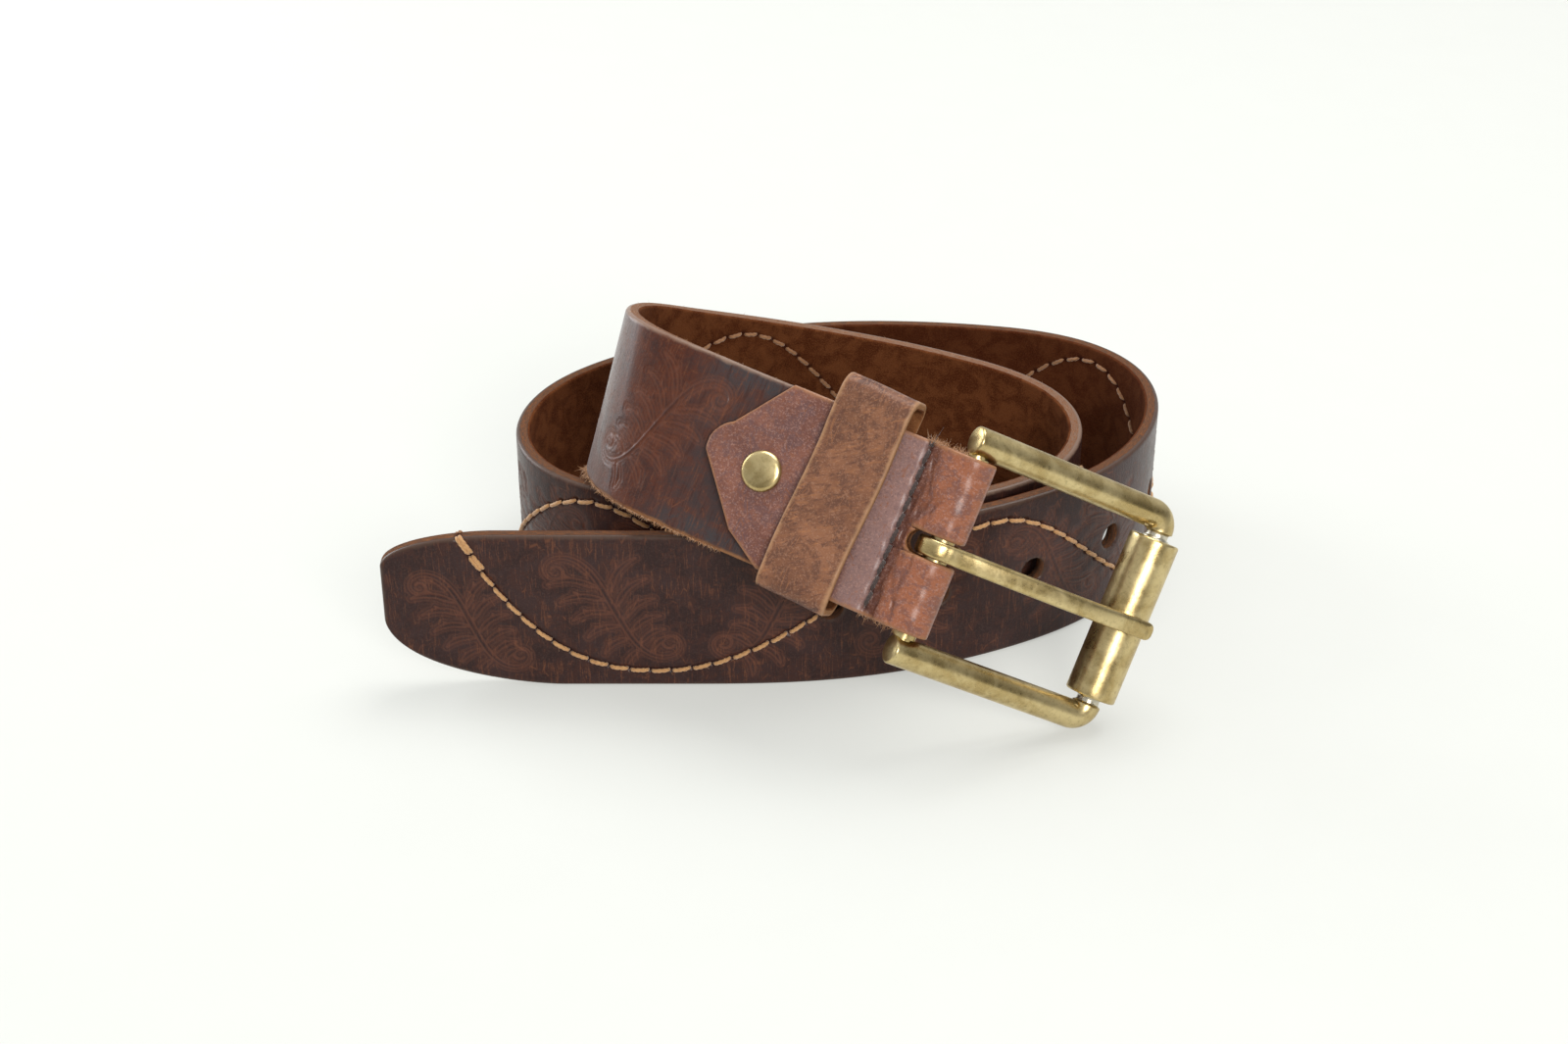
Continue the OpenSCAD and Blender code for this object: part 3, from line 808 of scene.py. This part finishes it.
def buckle_frame(material):
    """One bent rod: arm, corner, crossbar, corner and arm, thinner inside the roller."""
    reach, neck = BUCKLE_LEN - BEND_R, ARM_Y - BEND_R
    arm_x = np.concatenate([-ARM_BACK + np.array([0, 0.12, 0.3, 0.5, 0.8]),
                            np.linspace(0, reach, 60)])
    y = np.linspace(neck, 0, 90)
    half = np.vstack([np.stack([arm_x, 0 * arm_x + ARM_Y], -1),
                      arc((reach, neck), BEND_R, 90, 0, 24)[1:-1],
                      np.stack([0 * y + BUCKLE_LEN, y], -1)])
    path = np.vstack([half, half[-2::-1] * [1, -1]])
    crossbar = path[:, 0] > BUCKLE_LEN - 0.01
    shrink = np.clip((neck - np.abs(path[:, 1])) / 0.35, 0, 1)
    inner = np.where(np.abs(path[:, 1]) < ROLLER_LEN / 2 + 0.2, CROSSBAR_R, NECK_R)
    r = np.where(crossbar, BAR_R + (inner - BAR_R) * shrink ** 0.6,
                 rounded(path[:, 0] + ARM_BACK, 0.5, BAR_R))
    p = np.column_stack([path, 0 * r])
    world = at_bar(*p.T)[None]
    e1 = np.broadcast_to(at_bar(0, 0, 1) - at_bar(0, 0, 0), world.shape)
    e2 = np.cross(at_bar(*(p + unit(np.gradient(p, axis=0))).T) - world, e1)
    a = circle(48)
    verts, quads, tris = ring_mesh(world, e1, e2, discs(r[:, None], a)[None])
    bare = np.where(crossbar, shrink, 0)
    mesh_object("buckle_rod", verts, quads, tris, attributes={
        "st": per_vertex(verts, run_length(*path.T)[:, None], a * BAR_R, 0.0),
        "marks": per_vertex(verts, bare[:, None], 0 * a, 0.0)},
        body="buckle", node="buckle_frame", slot="brass", material=material)


def prong(material):
    """A tongue curled once round the heel bar, bowed, and flattened at its tip."""
    curl = arc((0, 0), HEEL_R + 0.06 + PRONG_WALL / 2, 372, 92, 64)
    x = np.concatenate([np.linspace(0.3, PRONG_LEN - 1.4, 90),
                        PRONG_LEN - np.array([1.1, 0.8, 0.5, 0.28, 0.12, 0])])
    z = np.interp(x, *np.transpose(PRONG_BOW))
    z[:90] = np.convolve(np.pad(z[:90], 6, "edge"), np.ones(13) / 13, "valid")
    path = np.vstack([curl, np.stack([x, z], -1)])
    thick = np.concatenate([np.full(len(curl), PRONG_WALL / 2 - 0.02),
                            np.interp(x, *np.transpose(PRONG_THICK))])
    thick[:4] *= [0.75, 0.9, 0.96, 1]
    wide = np.full(len(path), PRONG_W / 2)
    wide[-6:] -= [0.05, 0.12, 0.25, 0.42, 0.65, 1.0]
    wide[:3] -= [0.3, 0.1, 0.03]
    p = np.column_stack([path[:, 0], 0 * wide + PRONG_Y - BUCKLE_Y, path[:, 1]])
    step = unit(np.gradient(path, axis=0))
    world = at_bar(*p.T)[None]
    e1 = at_bar(*(p + np.column_stack([-step[:, 1], 0 * wide, step[:, 0]])).T) - world
    e2 = np.broadcast_to(at_bar(0, 1, 0) - at_bar(0, 0, 0), e1.shape)
    shape = section(PRONG_CORNER)
    offsets = (shape[None] * np.stack([thick, wide], -1)[:, None])[None]
    verts, quads, tris = ring_mesh(world, e1, e2, offsets)
    st = per_vertex(verts, run_length(*path.T)[:, None], np.arange(len(shape)) * 0.35, 0.0)
    mesh_object("prong_tongue", verts, quads, tris, attributes={"st": st}, body="prong_tongue",
                node="prong", slot="brass", material=material)


def roller(material):
    """A tube with rounded ends."""
    half, bore, edge = ROLLER_LEN / 2, CROSSBAR_R + 0.06, 0.55
    upper = np.vstack([arc((ROLLER_R - edge, half - edge), edge, 0, 90, 6),
                       (bore + 0.25, half), (bore, half - 0.25)])
    z = np.linspace(-half + edge, half - edge, 30)[1:-1]
    profile = np.vstack([upper[::-1] * [1, -1], np.stack([0 * z + ROLLER_R, z], -1), upper])
    lathe("roller_tube", profile, at_bar(BUCKLE_LEN, 0, 0), at_bar(0, 1, 0) - at_bar(0, 0, 0),
          closed=True, body="roller_tube", node="roller", slot="brass", material=material)


# ---- Materials
class Looks:
    """A short way to write the nodes of a material, or of the world."""

    def __init__(self, owner, shader="Principled BSDF"):
        if isinstance(owner, str):
            owner = bpy.data.materials.new(owner)
        owner.use_nodes = True
        self.material, self.tree = owner, owner.node_tree
        self.shader = self.tree.nodes[shader]

    def node(self, kind, inputs=None, **settings):
        node = self.tree.nodes.new("ShaderNode" + kind)
        for key, value in settings.items():
            setattr(node, key, value)
        for key, value in (inputs or {}).items():
            self.feed(node.inputs[key], value)
        return node

    def feed(self, socket, value):
        if isinstance(value, bpy.types.NodeSocket):
            self.tree.links.new(value, socket)
        else:
            socket.default_value = value

    def attribute(self, name):
        return self.node("Attribute", attribute_name=name).outputs["Vector"]

    def split(self, vector):
        return self.node("SeparateXYZ", {0: vector}).outputs

    def scaled(self, vector, x, y, z=1.0):
        return self.node("Mapping", {"Vector": vector, "Scale": (x, y, z)}).outputs[0]

    def turned(self, vector, degrees):
        angles = (0, 0, np.radians(degrees))
        return self.node("Mapping", {"Vector": vector, "Rotation": angles}).outputs[0]

    def place_mm(self):
        return self.scaled(self.node("TexCoord").outputs["Object"], 1 / MM, 1 / MM, 1 / MM)

    def noise(self, vector, scale=1.0, detail=3.0, rough=0.55, twist=0.0):
        return self.node("TexNoise", {"Vector": vector, "Scale": scale, "Detail": detail,
                                      "Roughness": rough, "Distortion": twist}).outputs[0]

    def cells(self, vector, scale, feature="F1"):
        inputs = {"Vector": vector, "Scale": scale}
        return self.node("TexVoronoi", inputs, feature=feature).outputs["Distance"]

    def math(self, kind, a, b=0.0, clamp=False):
        return self.node("Math", {0: a, 1: b}, operation=kind, use_clamp=clamp).outputs[0]

    def times(self, a, b, clamp=False):
        return self.math("MULTIPLY", a, b, clamp)

    def plus(self, a, b, clamp=False):
        return self.math("ADD", a, b, clamp)

    def span(self, value, low, high, to_low=0.0, to_high=1.0):
        node = self.node("MapRange", {0: value, 1: low, 2: high, 3: to_low, 4: to_high},
                         interpolation_type="SMOOTHSTEP")
        return node.outputs[0]

    def mix(self, factor, a, b, kind="MIX"):
        def colour(v):
            return v if isinstance(v, bpy.types.NodeSocket) else (*v, 1.0)
        node = self.node("Mix", {0: factor, 6: colour(a), 7: colour(b)}, data_type="RGBA",
                         blend_type=kind)
        return node.outputs[2]

    def bump(self, height, strength, distance, normal=None):
        inputs = {"Strength": strength, "Distance": distance * MM, "Height": height}
        if normal is not None:
            inputs["Normal"] = normal
        return self.node("Bump", inputs).outputs[0]

    def finish(self, **inputs):
        for key, value in inputs.items():
            self.feed(self.shader.inputs[key.replace("_", " ")], value)
        return self.material


def strap_regions(m, base, s, w, patch):
    """The strap's grain side: redder where it is raised, paler towards its middle, and painted sheen:
    a blue-grey tone round the chape's tail, and a pale patch on the left bend that also stands for the
    paling of bent leather."""
    warm = m.times(m.span(s, 655, 715), m.span(patch, 0.3, 0.6, 0.25, 0.9))
    base = m.mix(warm, base, (0.082, 0.022, 0.010))
    pale = m.times(m.span(s, 120, 200), m.span(s, 330, 260))
    base = m.mix(m.times(pale, 0.5), base, (0.055, 0.036, 0.038))
    # Painted sheen: a blue-grey tone round the chape's tail, stronger towards both rims, standing in
    # for a reflection there.
    rims = m.math("MAXIMUM", m.span(w, 7, 2), m.span(w, 31, 35))
    painted_tail_sheen = m.times(m.span(s, 738, 752), m.plus(m.times(rims, 0.35), 0.5))
    painted_tail_sheen = m.times(painted_tail_sheen, m.span(patch, 0.7, 0.4, 0.35, 1))
    base = m.mix(painted_tail_sheen, base, (0.040, 0.040, 0.044))
    # Painted sheen: a pale grey patch on the left bend stands in for the reflection of the bright
    # surroundings, and also for the paling of bent leather.
    bloom_and_sheen = m.times(m.span(s, 700, 711), m.span(s, 730, 716, 0, 0.5))
    return m.mix(bloom_and_sheen, base, (0.36, 0.34, 0.335))


def strap_rims(m, s, w):
    """The strap's rubbed edges: dark near the tip, and orange below the raised bend."""
    rim = m.mix(m.span(s, 380, 640), (0.070, 0.042, 0.030), STRAP_LOOK["rim"])
    return m.mix(m.times(m.span(s, 640, 690), m.span(w, 12, 8)), rim, (0.30, 0.13, 0.045))


def strap_flesh_painted_shade(m, flesh, s):
    """Painted shade: darkens the outer turn's flesh side, standing in for the shadow inside the coil.
    """
    shade = m.times(m.span(s, 150, 205), m.span(s, 400, 330))
    return m.mix(m.times(shade, 0.45), flesh, (0.035, 0.006, 0.002))


def chape_regions(m, base, s, w, patch):
    """Mauve-grey beside the keeper, redder where it folds round the bar and brighter there as painted
    light, and dark in the folds beside the seam as painted shade."""
    strip = m.times(m.span(s, SEAM_X - 8, SEAM_X - 6), m.span(s, SEAM_X + 0.5, SEAM_X - 0.8))
    base = m.mix(m.times(strip, 0.7), base, (0.23, 0.145, 0.135))
    # Painted light: the fold round the bar is redder leather, and paler, standing in for the light
    # that falls on it.
    fold = m.times(m.span(s, SEAM_X, SEAM_X + 2.5), m.span(patch, 0.56, 0.46, 0.35, 1))
    base = m.mix(fold, base, (0.255, 0.092, 0.048))
    # Painted shade: a dark band in the folds just right of the seam.
    crease_shade = m.times(m.span(s, SEAM_X - 0.3, SEAM_X + 0.5),
                     m.span(s, SEAM_X + 5, SEAM_X + 1, 0, 0.7))
    return m.mix(crease_shade, base, (0.085, 0.030, 0.018))


# Each leather's tones from dark to pale, its streaks with their scale along and across, its
# rubbed lines and rims (the chape's tone for its folds is painted shade), its flesh side, and its
# surface
STRAP_LOOK = dict(
    tones=[(0.024, 0.0105, 0.0095), (0.034, 0.016, 0.015), (0.042, 0.016, 0.012),
           (0.050, 0.030, 0.027)],
    streak=(0.13, 0.048, 0.024), streak_scale=(1.5, 0.13), slant=0, wear_and_shade=(0.15, 0.055, 0.032),
    rim=(0.22, 0.14, 0.10),
    flesh=[(0.055, 0.012, 0.003), (0.110, 0.034, 0.011), (0.19, 0.070, 0.026)],
    rough=0.40, grain=1.0, mottle=0.75, coat=0.5, regions=strap_regions, rims=strap_rims,
    # painted shade on the strap's flesh side, inside the coil
    flesh_regions=strap_flesh_painted_shade)
CHAPE_LOOK = dict(
    tones=[(0.135, 0.056, 0.042), (0.185, 0.078, 0.056), (0.105, 0.060, 0.062),
           (0.36, 0.21, 0.17)],
    # The chape's dark line tone below is painted shade for its creases and seam groove.
    streak=(0.20, 0.07, 0.032), streak_scale=(1.1, 0.9), slant=20, wear_and_shade=(0.05, 0.012, 0.006),
    rim=(0.28, 0.13, 0.06),
    flesh=[(0.12, 0.04, 0.015), (0.2, 0.08, 0.03), (0.28, 0.12, 0.05)],
    rough=0.36, grain=1.3, mottle=0.55, coat=0.7, regions=chape_regions)
KEEPER_LOOK = dict(
    tones=[(0.13, 0.058, 0.038), (0.26, 0.118, 0.066), (0.050, 0.027, 0.028),
           (0.42, 0.25, 0.17)],
    streak=(0.40, 0.17, 0.07), streak_scale=(0.3, 1.3), slant=35, wear_and_shade=(0.17, 0.075, 0.04),
    rim=(0.34, 0.19, 0.10),
    flesh=[(0.12, 0.04, 0.015), (0.2, 0.08, 0.03), (0.3, 0.14, 0.06)],
    rough=0.40, grain=1.1, mottle=0.9, coat=0.3)


def grain_side(m, look, st, s, w, cloud, patch, fine):
    """Mottled tones under streaks, dents and fine cracks, with the streaks' and the cracks'
    patterns."""
    tones, streak = look["tones"], look["streak"]
    base = m.mix(m.span(cloud, 0.4, 0.6), tones[0], tones[1])
    base = m.mix(m.span(patch, 0.47, 0.57, 0, look["mottle"]), base, tones[2])
    if "regions" in look:
        base = look["regions"](m, base, s, w, patch)
    base = m.mix(m.span(fine, 0.5, 0.64, 0, 0.5), base, tones[3])
    threads = m.noise(m.scaled(m.turned(st, look["slant"]), *look["streak_scale"]), 1.0, 5,
                      0.72, 0.3)
    lines = m.times(m.span(threads, 0.54, 0.64), m.span(cloud, 0.3, 0.62, 0.3, 0.9))
    base = m.mix(m.times(lines, m.span(fine, 0.35, 0.6, 0.3, 0.9)), base, streak)
    dents = m.span(threads, 0.46, 0.38, 0, look["mottle"])
    base = m.mix(m.times(dents, m.span(fine, 0.3, 0.55, 0.3, 1.0)), base, tones[2])
    cracks = m.span(m.cells(m.scaled(st, 0.5, 0.11), 1.0, "DISTANCE_TO_EDGE"), 0.035, 0.005)
    cracks = m.times(cracks, m.span(patch, 0.5, 0.62))
    return m.mix(m.times(cracks, 0.6), base, streak), threads, cracks


def flesh_side(m, look, st, s):
    """Brown suede, with its nap's pattern."""
    flesh = m.mix(m.span(m.noise(st, 0.2, 5, 0.68, 0.5), 0.38, 0.62), *look["flesh"][:2])
    nap = m.noise(st, 3.0, 4, 0.72)
    flesh = m.mix(m.span(nap, 0.42, 0.7, 0, 0.55), flesh, look["flesh"][2])
    # Painted shade on the flesh side, where the look gives it.
    if "flesh_regions" in look:
        flesh = look["flesh_regions"](m, flesh, s)
    return flesh, nap


def leather(name, look):
    """Waxed full-grain leather: a grain side with rubbed rims, raw cut edges and a flesh side."""
    m = Looks(name)
    st = m.attribute("st")
    s, w, side = m.split(st)
    ink, pit, edge = m.split(m.attribute("marks"))
    cloud = m.noise(st, 0.07, 4, 0.6, 0.6)
    patch = m.noise(st, 0.3, 5, 0.66, 0.5)
    fine = m.noise(st, 2.4, 4, 0.7)
    base, threads, cracks = grain_side(m, look, st, s, w, cloud, patch, fine)
    # Tooled lines on the strap and the keeper's front face take this tone; on the chape it is painted
    # shade in its creases and seam groove.
    base = m.mix(m.times(ink, 0.5), base, look["wear_and_shade"])
    rim = look["rims"](m, s, w) if "rims" in look else look["rim"]
    rub = m.plus(edge, m.times(m.math("SUBTRACT", patch, 0.5), 1.6))
    base = m.mix(m.span(rub, 0.1, 1.1, 0.8, 0.0), base, rim)
    flesh, nap = flesh_side(m, look, st, s)
    back = m.span(side, -0.93, -0.97)
    cut = m.times(m.span(side, 0.99, 0.9), m.span(side, -0.97, -0.85))
    layers = m.noise(m.scaled(st, 0.5, 0.5, 7), 1.0, 4, 0.7)
    raw = m.mix(m.span(layers, 0.42, 0.62), rim, look["flesh"][2])
    raw = m.mix(m.span(fine, 0.5, 0.7, 0, 0.6), raw, tuple(0.4 * c for c in look["rim"]))
    colour = m.mix(cut, m.mix(back, base, flesh), raw)
    # Painted shade: the needle holes darkened nearly to black.
    colour = m.mix(m.times(pit, 0.9, True), colour, (0.02, 0.004, 0.003))
    height = m.plus(m.times(m.cells(st, 1.7 * look["grain"]), 0.3), m.times(fine, 0.55))
    height = m.plus(height, m.times(threads, 0.8))
    height = m.math("SUBTRACT", height, m.times(cracks, 0.25))
    dull = m.math("MAXIMUM", back, cut)
    normal = m.bump(m.times(nap, dull), 0.8, 0.35, m.bump(height, 0.5, 0.3))
    gloss = m.plus(m.times(patch, 0.6), m.times(fine, 0.4))
    gloss = m.span(gloss, 0.38, 0.62, look["rough"], look["rough"] + 0.16)
    return m.finish(Base_Color=colour, Roughness=m.plus(gloss, m.times(dull, 0.5), True),
                    Normal=normal, Specular_IOR_Level=0.06, Coat_Roughness=0.24, Coat_IOR=1.32,
                    Coat_Weight=m.span(dull, 0.1, 0.5, look["coat"], 0.0))


def thread(name, light, dark, pit):
    """Waxed twisted thread with paler, fuzzy high spots."""
    m = Looks(name)
    st = m.attribute("st")
    fibre = m.noise(m.scaled(st, 1.2, 9), 1.0, 4, 0.6)
    cloud = m.noise(st, 0.3, 3, 0.6)
    colour = m.mix(m.span(fibre, 0.35, 0.68), dark, light)
    colour = m.mix(m.span(cloud, 0.5, 0.72, 0, 0.55), colour, pit)
    normal = m.bump(fibre, 0.7, 0.12)
    return m.finish(Base_Color=colour, Roughness=0.62, Normal=normal, Sheen_Weight=0.25)


def brass(name):
    """Antique brass: satin, mottled with brown patina, paler where the roller rubs it."""
    m = Looks(name)
    mm = m.place_mm()
    bare = m.split(m.attribute("marks"))[0]
    cloud = m.noise(mm, 0.16, 5, 0.62, 0.4)
    spots = m.noise(mm, 0.9, 5, 0.7)
    specks = m.noise(mm, 3.5, 3, 0.6)
    scratch = m.noise(m.scaled(mm, 0.5, 0.5, 3.5), 2.2, 3, 0.6, 0.4)
    colour = m.mix(m.span(cloud, 0.35, 0.65), (0.45, 0.335, 0.145), (0.65, 0.525, 0.27))
    colour = m.mix(m.span(spots, 0.5, 0.72, 0, 0.4), colour, (0.13, 0.088, 0.034))
    colour = m.mix(m.span(specks, 0.58, 0.72, 0, 0.22), colour, (0.12, 0.085, 0.035))
    colour = m.mix(m.times(bare, 0.8), colour, (0.60, 0.58, 0.5))
    rough = m.span(m.plus(m.times(cloud, 0.5), m.times(spots, 0.5)), 0.35, 0.65, 0.25, 0.38)
    normal = m.bump(scratch, 0.035, 0.1, m.bump(cloud, 0.12, 0.3))
    return m.finish(Base_Color=colour, Roughness=rough, Normal=normal, Metallic=1.0)


def fibre_look(name, colour):
    m = Looks(name)
    tone = m.mix(m.noise(m.place_mm(), 0.8, 2), colour, tuple(0.45 * c for c in colour))
    return m.finish(Base_Color=tone, Roughness=0.8, Sheen_Weight=0.3)


def floor_look():
    """Pale paper that also glows by itself, so that it comes out nearly white and its
    shadows stay faint."""
    m = Looks("floor_paper")
    place = m.node("TexCoord").outputs["Object"]
    tone = m.mix(m.noise(place, 60, 3), (0.305, 0.312, 0.297), (0.315, 0.322, 0.307))
    return m.finish(Base_Color=tone, Roughness=0.9, Specular_IOR_Level=0.05,
                    Emission_Color=(0.93, 0.94, 0.895, 1.0), Emission_Strength=0.46)


# ---- The set
CAMERA_TARGET = np.array([-1.2, -2.1, 20.0])
CAMERA_BACK, CAMERA_UP = 485.0, 280.0
CAMERA_LENS = 55.8
# The floor and the lights are in metres. Each light has its place, size, power and colour
FLOOR_HALF = 3.0
FLOOR_Z = -0.0002
FLOOR_FLAT = 1.6
SKY_FROM = (-0.35, 0.45, 0.82)
SKY_LOW, SKY_HIGH = 0.10, 0.85
LIGHTS = [("soft_left", (-0.75, 0.45, 0.3), (0.5, 0.6), 6.0, (0.93, 0.97, 1.0)),
          ("soft_top", (0.3, 0.35, 1.15), (0.9, 0.7), 12.0, (1.0, 0.99, 0.97)),
          ("soft_front", (0.35, -1.2, 0.7), (0.6, 0.4), 15.0, (1.0, 0.98, 0.95))]


def set_floor():
    """A wide sweep of paper, flat under the belt and curved up far behind it."""
    steps = 24
    line = np.linspace(-FLOOR_HALF, FLOOR_HALF, steps)
    verts = [(x, y, FLOOR_Z + 0.12 * max(y - FLOOR_FLAT, 0) ** 2) for y in line for x in line]
    faces = [(r * steps + c, r * steps + c + 1, (r + 1) * steps + c + 1, (r + 1) * steps + c)
             for r in range(steps - 1) for c in range(steps - 1)]
    mesh = bpy.data.meshes.new("floor_sweep")
    mesh.from_pydata(verts, [], faces)
    mesh.shade_smooth()
    mesh.materials.append(floor_look())
    put("floor_sweep", mesh)


def aim(obj, spot):
    """Turns a light or camera so that it looks at a spot."""
    direction = Vector(spot) - obj.location
    obj.rotation_euler = direction.to_track_quat("-Z", "Y").to_euler()


def softbox(name, place, size, power, colour):
    """A soft rectangular light that looks at the belt."""
    light = bpy.data.lights.new(name, "AREA")
    light.shape = "RECTANGLE"
    light.size, light.size_y = size
    light.energy = power
    light.color = colour
    obj = put(name, light)
    obj.location = place
    aim(obj, (0, 0, 0.02))


def set_world():
    """Light that is brightest above and behind to the left, and weak towards the camera."""
    world = bpy.data.worlds.new("studio")
    bpy.context.scene.world = world
    m = Looks(world, "Background")
    facing = m.node("VectorMath", {0: m.node("TexCoord").outputs["Generated"], 1: SKY_FROM},
                    operation="DOT_PRODUCT").outputs["Value"]
    power = m.node("MapRange", {0: facing, 1: -0.35, 2: 0.8, 3: SKY_LOW, 4: SKY_HIGH})
    m.finish(Color=(0.98, 0.99, 1.0, 1), Strength=power.outputs[0])


def set_camera():
    """The photograph's view: from the front and 30 degrees above the floor."""
    camera = bpy.data.cameras.new("camera")
    camera.lens = CAMERA_LENS
    camera.sensor_width = 36
    camera.clip_start = 0.01
    obj = put("camera", camera)
    obj.location = (CAMERA_TARGET + np.array([0, -CAMERA_BACK, CAMERA_UP])) * MM
    aim(obj, CAMERA_TARGET * MM)
    bpy.context.scene.camera = obj


def build():
    """All the belt's pieces. The bar and the rivet's back keep their CAD meshes."""
    tan = thread("thread_tan", (0.62, 0.36, 0.14), (0.30, 0.13, 0.045), (0.42, 0.2, 0.07))
    old_tan = thread("thread_flesh_side", (0.36, 0.18, 0.07), (0.17, 0.065, 0.022),
                     (0.24, 0.1, 0.035))
    dark = thread("thread_dark", (0.045, 0.02, 0.014), (0.012, 0.006, 0.005), (0.03, 0.01, 0.006))
    metal = brass("antique_brass")

    strap(emboss(), leather("strap_leather", STRAP_LOOK))
    chape(leather("chape_leather", CHAPE_LOOK))
    keeper(leather("keeper_leather", KEEPER_LOOK))
    wave_stitches(1, "wave_stitches_front", "wave_thread_front", tan, 0.42, 0.26)
    wave_stitches(-1, "wave_stitches_back", "wave_thread_back", old_tan, 0.65, 0.08)
    seam_stitches(1, "seam_stitches_front", "chape_seam_front", dark)
    seam_stitches(-1, "seam_stitches_back", "chape_seam_back", dark)
    keeper_stitches(dark)
    fibres(fibre_look("loose_fibre", (0.55, 0.27, 0.11)), dark)
    for make in (rivet, buckle_frame, prong, roller):
        make(metal)
    for node in ("heel_bar", "rivet_post"):
        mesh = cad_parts[node].data
        mesh.materials.clear()
        mesh.materials.append(metal)


def main():
    build()
    set_floor()
    set_world()
    for light in LIGHTS:
        softbox(*light)
    set_camera()
    bpy.context.scene.view_settings.view_transform = "Standard"


main()
